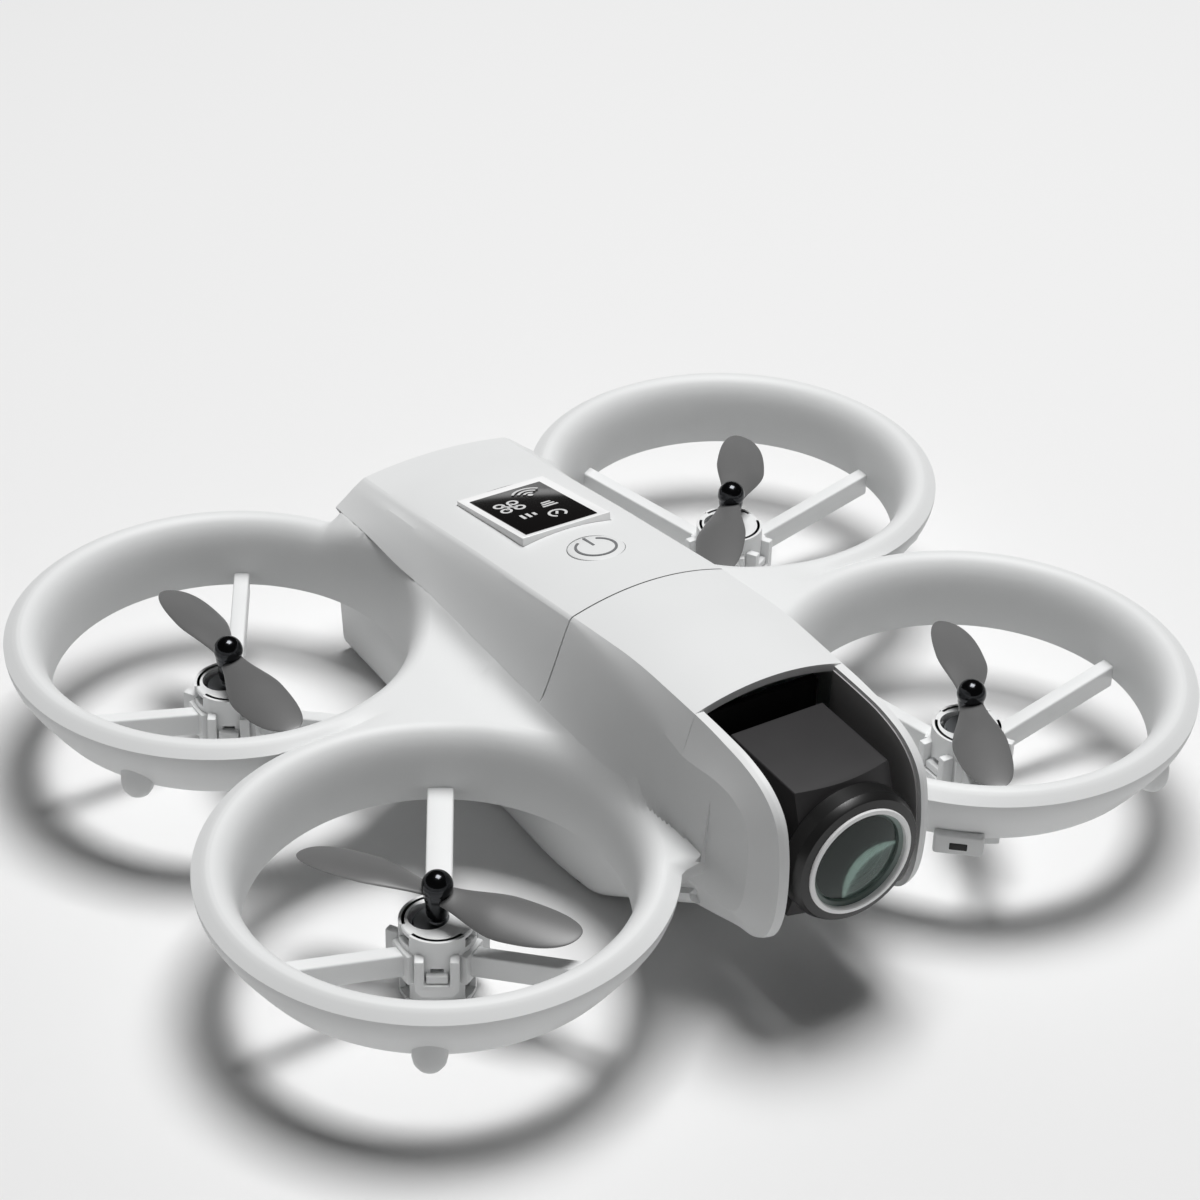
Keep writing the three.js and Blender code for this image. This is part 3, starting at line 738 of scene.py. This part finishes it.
# ---- Rotors ----
def blade():
    """One twisted, cambered blade along +X from the hub, with a straight leading edge and a full trailing one."""
    around, spans = 24, 40
    root, tip = 1.2, 21.3

    def place(u, v):
        t = 1 - (1 - v) ** 1.6
        r = root + (tip - root) * t
        end = math.sqrt(max(0.0, 1 - t ** 5))
        lead = (1.6 + 1.5 * ramp(t, 0, 0.5)) * end
        trail = (1.7 + 3.4 * ramp(t, -0.1, 0.5)) * end
        a = 2 * math.pi * u
        across = math.cos(a)
        thickness = lerp(0.62, 0.28, t) * math.sqrt(max(0.0, 1 - t ** 8)) * 0.8
        lift = thickness * math.sin(a) + 0.6 * (1 - across * across) * ramp(t, 0.05, 0.4) * (1 - t ** 4)
        pitch = math.radians(lerp(15, 8, t))
        c = (lead - trail) / 2 + (lead + trail) / 2 * across
        return r, c * math.cos(pitch) - lift * math.sin(pitch), c * math.sin(pitch) + lift * math.cos(pitch)

    bm = weld(sheet(around, spans, place), 1e-3)
    bmesh.ops.holes_fill(bm, edges=[e for e in bm.edges if e.is_boundary], sides=0)
    return move(weld(bm), 0, 0, -5.3)


def propeller(tag):
    """Two blades in one piece, turned to where this rotor rests."""
    other = turn_z(blade(), 180)
    return turn_z(together(blade(), other), RINGS[tag][2])


def blade_hub():
    """The black hub the blades are moulded on, which is pressed on the shaft."""
    return turned([(0.8, -8.9), (1.5, -8.9), (1.6, -8.6), (1.75, -6.6), (1.95, -5.6), (2.0, -4.75), (0.8, -4.75),
                   (0.8, -8.9)], 40)


def spinner():
    """The acorn nut that holds the propeller, a ball cut flat below."""
    radius, centre, cut = 2.2, -3.95, -4.74
    low = math.asin((cut - centre) / radius)
    arc = [lerp(low, math.pi / 2, n / 20) for n in range(20)]
    profile = [(0, cut)] + [(radius * math.cos(a), centre + radius * math.sin(a)) for a in arc]
    return turned(profile + [(0, centre + radius)], 48)


def motor_cage(tag):
    """A slotted sleeve for the motor can, three U-shaped clips and three spokes to the duct wall."""
    spokes_at = [60, 180, -60] if RINGS[tag][0] < 0 else [120, 0, -120]
    sleeve_out = 5.4
    inner_end, outer_end, spoke_fall = 4.4, 26.9, 5.9
    around, rows = 72, 24
    low, high = -21.7, -9.7

    def place(u, v):
        a = 2 * math.pi * u
        return sleeve_out * math.cos(a), sleeve_out * math.sin(a), lerp(low, high, v)

    sleeve = weld(sheet(around, rows, place), 1e-3)

    def open_at(face):
        centre = face.calc_center_median()
        a = math.degrees(math.atan2(centre.y, centre.x))
        off = min(abs((a - s + 180) % 360 - 180) for s in spokes_at)
        side = min(abs((a - s - 60 + 180) % 360 - 180) for s in spokes_at)
        foot_slot = off < 14 and centre.z < -17.2
        top_notch = off < 16 and centre.z > -11.6
        window = side < 11 and -17.6 < centre.z < -14.4
        return foot_slot or top_notch or window

    bmesh.ops.delete(sleeve, geom=[f for f in sleeve.faces if open_at(f)], context="FACES")
    sleeve = thick(sleeve, 0.85)
    cap = carved(turned([(0, -10.6), (4.9, -10.6), (5.15, -10.45), (5.15, -9.85), (5.0, -9.7), (0, -9.7)], 48),
                 turned([(0, -11), (2.9, -11), (2.9, -9), (0, -9)], 40, centre=(-0.9, 1.0, 0)))
    base = turned([(1.2, -21.9), (5.1, -21.9), (5.4, -21.6), (5.4, -20.9), (1.2, -20.9), (1.2, -21.9)], 48)
    parts = [sleeve, base, cap]
    for a in spokes_at:
        half = 1.9 if (tag, a) == ("fl", 60) else 1.2
        spoke = block((inner_end, -half, -11.3), (outer_end, half, -7.5))
        for v in spoke.verts:
            v.co.z -= spoke_fall * (outer_end - v.co.x) / (outer_end - inner_end)
        parts.append(turn_z(soften(spoke, 0.3, 3), a))
        root = soften(block((4.6, -2.3, -17.6), (6.0, 2.3, -12.6)), 0.3, 2)
        parts.append(turn_z(root, a))
        outline = [(-3.1, -12.1), (-1.75, -12.1), (-1.75, -16.3), (1.75, -16.3), (1.75, -12.1), (3.1, -12.1),
                   (3.1, -17.2), (2.2, -18.3), (-2.2, -18.3), (-3.1, -17.2)]
        clip = slab(outline, 4.6, 6.6, "x")
        parts.append(turn_z(soften(clip, 0.25, 2), a + 60))
        tongue = soften(block((4.6, -1.5, -16.2), (6.2, 1.5, -14.9)), 0.2, 2)
        parts.append(turn_z(tongue, a + 60))
    return together(*parts)


def motor_can():
    """The motor's drawn can, with a boss round its shaft."""
    return turned([(0, -20.1), (3.1, -20.1), (3.5, -19.7), (3.5, -10.5), (3.3, -10.1), (1.2, -10.0), (1.1, -9.7),
                   (0, -9.7)], 48)


def motor_shaft():
    """The stepped shaft, hidden under the hub."""
    return turned([(0, -9.6), (0.75, -9.6), (0.75, -7.3), (0.5, -7.2), (0.5, -5.0), (0, -5.0)], 24)


# ---- Camera head ----
def camera_housing():
    """The camera block: a box whose front corners are turned off towards the round lens hood."""
    outline = [(-44.6, -3.2), (-44.6, 13.8), (-45.4, 16.0), (-62.4, 16.0), (-62.4, -4.6), (-60, -4.6)]
    box = soften(slab(outline, -7.6, 7.6, "x"), 0.3, 3, 40)
    cone = [(9.3, 62.3), (20, 57.2), (20, 66), (9.3, 66), (9.3, 62.3)]
    return carved(box, lens_turned(cone))


def lens_turned(profile, steps=96):
    """A piece turned about the lens axis; heights run forwards from the middle of the rings."""
    return turned(profile, steps, axis=(0, -1, 0), centre=(0, 0, LENS_Z))


def lens_barrel():
    """The black hood, flared at its foot and rounded at its front."""
    return lens_turned([(8.2, 61.6), (9.3, 61.6), (10.0, 62.3), (10.0, 64.6), (9.6, 65.55), (9.4, 65.8),
                        (8.2, 66.0), (8.2, 61.6)])


def lens_trim():
    """The white ring inside the hood."""
    return lens_turned([(7.4, 62.0), (8.2, 62.0), (8.2, 66.2), (8.1, 66.35), (7.55, 66.4), (7.4, 66.2),
                        (7.4, 62.0)])


def lens_cone():
    """The stepped baffle behind the glass, narrowing towards the inner element."""
    steps = [(7.4, 65.6), (6.9, 65.3), (6.4, 65.15), (6.3, 64.85), (5.6, 64.7), (5.5, 64.4), (4.9, 64.25),
             (4.8, 63.95), (4.2, 63.8), (4.1, 63.5), (3.4, 63.35), (3.3, 63.05), (2.6, 62.9), (2.5, 62.6), (0, 62.6),
             (0, 57.0), (7.4, 57.0)]
    return lens_turned(steps + steps[:1])


RETAINERS = [(6.35, 64.97), (5.55, 64.52), (4.85, 64.07), (3.35, 63.17)]


def lens_ring(radius, height, wire=0.14):
    """A round wire that retains one lens element."""
    points = [(radius + wire * math.cos(a), height + wire * math.sin(a))
              for a in [2 * math.pi * k / 10 for k in range(11)]]
    return lens_turned(points)


def lens_front():
    """The bulging front element."""
    face = [(6.85 * (1 - k / 24), 65.3 + 0.9 * (1 - (1 - k / 24) ** 2)) for k in range(25)]
    return lens_turned([(0, 65.2), (6.85, 65.2)] + face)


def lens_dome():
    """Coated inner element, a steep glossy dome deep in the cone."""
    face = [(2.5 * math.cos(a), 62.7 + 1.8 * math.sin(a)) for a in [math.pi / 2 * k / 20 for k in range(20)]]
    return lens_turned([(0, 62.5), (2.5, 62.5)] + face + [(0, 64.5)])


def bay_lining():
    """Bracket behind the camera with an arm to each tilt pin, and the lining of the bay."""
    parts = [soften(block((-10.2, -40.6, -5.5), (10.2, -39.4, 16.4)), 0.3, 2)]
    for side in (-1, 1):
        arm = slab([(-39.8, 1.5), (-39.8, 10.5), (-55, 9.2), (-56.6, 7.9), (-57.1, 6), (-56.6, 4.1), (-55, 2.8)],
                   8.55, 10.2, "x")
        bmesh.ops.scale(arm, verts=arm.verts, vec=(side, 1, 1))
        parts.append(soften(weld(arm), 0.25, 2))
    return together(*parts)


def bay_side():
    """Thin grey sheet on the inner faces of the nose plates: painted shade of the bay's inside."""
    rim = [rim_point(k / 40) for k in range(41)]
    inset = [(lerp(y, NOSE_MIDDLE[0], 0.035), lerp(z, NOSE_MIDDLE[1], 0.035)) for y, z in rim]
    return mirrored(slab(inset, BAY_HALF - 0.28, BAY_HALF - 0.02, "x"), merge=0)


# ---- Display and button ----
def frame_slab(width, length, rim, low, high):
    """A flat rectangular ring."""
    slab_up = block((-width / 2, -length / 2, low), (width / 2, length / 2, high))
    top = [f for f in slab_up.faces if f.normal.z > 0.9]
    bmesh.ops.inset_region(slab_up, faces=top, thickness=rim, depth=0)
    bmesh.ops.translate(slab_up, verts=top[0].verts[:], vec=(0, 0, -0.35))
    return slab_up


def display_bezel():
    """The white surround of the display."""
    surround = frame_slab(DISPLAY["width"], DISPLAY["length"], DISPLAY["rim"], -2.0, 0.3)
    return lean(soften(surround, 0.18, 3), DISPLAY)


def display_screen():
    """The black glass inside the surround."""
    x, y = DISPLAY["width"] / 2 - DISPLAY["rim"], DISPLAY["length"] / 2 - DISPLAY["rim"]
    return lean(soften(block((-x, -y, -1.6), (x, y, 0.08)), 0.06, 2), DISPLAY)


def arc_stroke(cx, cy, radius, start, end, width, steps=24):
    """A flat curved stroke between two angles."""
    a = [math.radians(lerp(start, end, k / steps)) for k in range(steps + 1)]
    outer = [(cx + (radius + width / 2) * math.cos(t), cy + (radius + width / 2) * math.sin(t)) for t in a]
    inner = [(cx + (radius - width / 2) * math.cos(t), cy + (radius - width / 2) * math.sin(t)) for t in a]
    return outer + inner[::-1]


def bar(x, y, length, width, turn=0):
    """A flat straight stroke centred on a point."""
    c, s = math.cos(math.radians(turn)), math.sin(math.radians(turn))
    corners = [(-length / 2, -width / 2), (length / 2, -width / 2), (length / 2, width / 2), (-length / 2, width / 2)]
    return [(x + a * c - b * s, y + a * s + b * c) for a, b in corners]


def display_icons():
    """Plain status signs: a signal fan, four small rotors, a charge bar and a round dial."""
    ink = 0.42
    outlines = [arc_stroke(2.2, 4.6, r, 35, 145, ink) for r in (0.9, 1.8, 2.7)]
    outlines += [arc_stroke(2.2, 4.5, 0.25, 0, 359, 0.4, 12)]
    for dx, dy in ((-1, -1), (1, -1), (-1, 1), (1, 1)):
        outlines.append(arc_stroke(-2.7 + dx * 1.15, 2.4 + dy * 1.15, 0.75, 0, 359, ink, 16))
    outlines += [bar(-2.7, 2.4, 2.6, ink, 45), bar(-2.7, 2.4, 2.6, ink, -45)]
    outlines += [bar(2.4, -1.2 + k * 0.75, 2.6 - k * 0.5, ink) for k in range(3)]
    outlines += [bar(-3.2, -2.6, 0.5, 1.7), bar(-2.2, -2.6, 0.5, 1.7), bar(-1.2, -2.6, 0.5, 1.1)]
    outlines += [arc_stroke(1.6, -4.7, 1.3, -60, 240, ink), bar(1.6, -4.5, 1.2, ink, 60)]
    return lean(together(*[slab(o, 0.1, 0.16) for o in outlines]), DISPLAY)


def power_button():
    """A shallow domed cap with a rounded edge."""
    radius = BUTTON["radius"]
    cap = turned([(0, -2.4), (radius, -2.4), (radius, -0.35), (radius - 0.08, -0.1),
                  (radius - 0.3, 0.02), (2, 0.1), (0, 0.12)], 72)
    return lean(cap, BUTTON)


def power_mark():
    """The usual standby sign: an open ring with a short bar."""
    ring = slab(arc_stroke(0, 0, 3.0, 120, 420, 0.4, 48), 0.02, 0.16)
    stroke = slab(bar(0, 2.1, 3.0, 0.4, 90), 0.02, 0.17)
    return lean(together(ring, stroke), BUTTON)


# ---- Rear end ----
def battery_end_cap():
    """The battery module's outer face, with a finger groove and three ribs below it; the charging port's mouth is
    made by port_frame.
    """
    low, high = (-16.9, REAR_Y - 3.1, BELLY_Z + 1.8), (16.9, REAR_Y, 2.0)
    cap = soften(block(low, high), 0.7, 3)
    groove = soften(block((-11, REAR_Y - 0.8, -6.6), (11, REAR_Y + 0.25, -5.2)), 0.3, 2)
    ribs = [soften(block((-11, REAR_Y - 0.4, z), (11, REAR_Y + 0.2, z + 0.6)), 0.2, 2)
            for z in (-9.0, -10.3, -11.6)]
    door = together(cap, groove, *ribs)
    for v in door.verts:
        v.co.y = raked(v.co.y, v.co.z)
    return door


def port_frame():
    """The metal mouth of the charging port, in the battery module's door."""
    height = -15.3
    outer = frame_slab(9.4, 3.8, 0.5, 0, 1.0)
    bmesh.ops.rotate(outer, verts=outer.verts, cent=(0, 0, 0), matrix=Matrix.Rotation(-math.pi / 2, 3, "X"))
    return move(soften(outer, 0.1, 2), 0, raked(REAR_Y, height) - 0.7, height)


# ---- Build ----
keep(duct_frame(), "duct_frame", SHELL_ABS, "airframe",
     [f"duct_ring_{tag}" for tag in RINGS])
keep(rear_cover(), "rear_cover_skin", SHELL_ABS, "airframe", ["rear_cover"], crease=11)
keep(front_cover(), "front_cover_skin", SHELL_ABS, "airframe", ["front_cover"], crease=11)
keep(lower_shell(), "belly_tub", SHELL_ABS, "airframe", ["lower_shell"])
for tag, (sx, sy, _, _) in RINGS.items():
    spot = (sx * RING_X, sy * RING_Y)
    keep(ring_foot(tag), f"ring_foot_{tag}", SHELL_ABS, "airframe")
    keep(move(motor_cage(tag), *spot), f"cage_and_spokes_{tag}", SHELL_ABS, "airframe",
         [f"motor_cage_{tag}"])
    keep(move(motor_can(), *spot), f"can_{tag}", CAN_STEEL, "airframe", [f"motor_can_{tag}"])
    keep(move(motor_shaft(), *spot), f"shaft_{tag}", SHAFT_STEEL, f"rotor_{tag}",
         [f"motor_shaft_{tag}"])
    keep(move(propeller(tag), *spot), f"blades_{tag}", BLADE_PP, f"rotor_{tag}",
         [f"propeller_{tag}"])
    keep(move(blade_hub(), *spot), f"blade_hub_{tag}", SPINNER_CHROME, f"rotor_{tag}")
    keep(move(spinner(), *spot), f"acorn_nut_{tag}", SPINNER_CHROME, f"rotor_{tag}",
         [f"spinner_cap_{tag}"])

keep(move(strap_boss(), RING_X, -RING_Y), "strap_boss", SHELL_ABS, "airframe")
# The black patch on the lanyard boss is painted shade of its slot.
keep(move(strap_slot_shade(), RING_X, -RING_Y), "strap_slot_shade", BAY_ABS, "airframe")
keep(camera_housing(), "camera_block", CAMERA_ABS, "camera_head", ["camera_housing"], crease=20)
keep(lens_barrel(), "lens_hood", BARREL_SATIN, "camera_head", ["lens_barrel"], crease=16)
keep(lens_trim(), "lens_white_ring", TRIM_WHITE, "camera_head", ["lens_trim_ring"])
keep(lens_cone(), "lens_stepped_cone", LENS_CONE, "camera_head", ["lens_inner_barrel"])
keep(lens_dome(), "lens_inner_dome", LENS_COATED, "camera_head")
for n, (radius, height) in enumerate(RETAINERS, 1):
    keep(lens_ring(radius, height), f"lens_retainer_{n}", LENS_SATIN, "camera_head")
keep(lens_front(), "lens_front_element", LENS_GLASS, "camera_head", ["lens_glass"])
keep(bay_lining(), "camera_yoke", BAY_ABS, "airframe", ["camera_bracket"])
# The grey sheet inside the nose plates is painted shade.
keep(bay_side(), "bay_side_painted_shade", PAINTED_PLATE_SHADE, "airframe")
keep(display_bezel(), "display_surround", TRIM_WHITE, "airframe", ["display_bezel"])
keep(display_screen(), "display_glass", DISPLAY_ACRYLIC, "airframe", ["display_screen"])
keep(display_icons(), "display_signs", ICON_INK, "airframe")
keep(power_button(), "button_cap", SHELL_ABS, "button", ["power_button"])
keep(power_mark(), "button_mark", MARK_INK, "button")
keep(battery_end_cap(), "battery_door", SHELL_ABS, "battery_module", ["battery_end_cap"])
keep(port_frame(), "charging_port", SCREW_STEEL, "battery_module", ["usb_port"])

# Nodes of the frame that keep their own shape and only take a finish.
CARRIED = {
    "battery_pack": CELL_SLEEVE, "battery_connector": BAY_ABS, "main_board": BOARD_MASK,
    "display_module": BOARD_MASK, "button_switch": BAY_ABS, "belly_sensor_window": DISPLAY_ACRYLIC,
    "flow_sensor": BAY_ABS, "tilt_pin_left": SCREW_STEEL, "tilt_pin_right": SCREW_STEEL,
    **{f"belly_screw_{n}": SCREW_STEEL for n in range(1, 5)},
}
for node, finish in CARRIED.items():
    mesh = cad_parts[node].data
    mesh.materials.clear()
    mesh.materials.append(finish)


# ---- Floor, light and camera ----
def plain_material(name, hex_code, roughness):
    """A material of one even colour, for the floor."""
    material = bpy.data.materials.new(name)
    material.use_nodes = True
    bsdf = material.node_tree.nodes["Principled BSDF"]
    bsdf.inputs["Base Color"].default_value = linear(hex_code)
    bsdf.inputs["Roughness"].default_value = roughness
    return material


def floor():
    """A wide pale floor, in metres."""
    bm = bmesh.new()
    bmesh.ops.create_grid(bm, x_segments=1, y_segments=1, size=6)
    mesh = bpy.data.meshes.new("floor")
    bm.to_mesh(mesh)
    bm.free()
    plane = bpy.data.objects.new("floor", mesh)
    bpy.context.scene.collection.objects.link(plane)
    mesh.materials.append(plain_material("pale_floor", "#EBEBEB", 0.9))


def area_light(name, place, size, power):
    """A square lamp at a place in metres, turned to face the origin."""
    data = bpy.data.lights.new(name, "AREA")
    data.shape = "SQUARE"
    data.size = size
    data.energy = power
    lamp = bpy.data.objects.new(name, data)
    bpy.context.scene.collection.objects.link(lamp)
    lamp.location = place
    lamp.rotation_euler = Vector(place).to_track_quat("Z", "Y").to_euler()


def studio():
    """One soft lamp overhead and a faint white sky."""
    scene = bpy.context.scene
    scene.view_settings.view_transform = "Standard"
    scene.world = scene.world or bpy.data.worlds.new("studio")
    scene.world.use_nodes = True
    sky = scene.world.node_tree.nodes["Background"]
    sky.inputs["Color"].default_value = (1, 1, 1, 1)
    sky.inputs["Strength"].default_value = 0.05
    area_light("overhead", (0.2, 0.14, 1.3), 0.62, 18.2)


AZIMUTH, ELEVATION, ROLL = (math.radians(a) for a in (-32.48, 33.6, 1.64))
DISTANCE = 467.97
AIM = Vector((7.168, 11.284, 0))
FOCAL_LENGTH, SENSOR_WIDTH = 92.16, 36


def camera():
    """The view from the front left and above."""
    right = Vector((math.cos(AZIMUTH), math.sin(AZIMUTH), 0))
    back = Vector((math.sin(AZIMUTH) * math.cos(ELEVATION), -math.cos(AZIMUTH) * math.cos(ELEVATION),
                   math.sin(ELEVATION)))
    up = back.cross(right)
    turned_right = right * math.cos(ROLL) + up * math.sin(ROLL)
    turned_up = up * math.cos(ROLL) - right * math.sin(ROLL)
    data = bpy.data.cameras.new("camera")
    data.sensor_width = SENSOR_WIDTH
    data.lens = FOCAL_LENGTH
    data.clip_start = 0.01
    eye = bpy.data.objects.new("camera", data)
    bpy.context.scene.collection.objects.link(eye)
    place = (MIDDLE + AIM + back * DISTANCE) * MM
    axes = Matrix((turned_right, turned_up, back)).transposed().to_4x4()
    eye.matrix_world = Matrix.Translation(place) @ axes
    bpy.context.scene.camera = eye


floor()
studio()
camera()
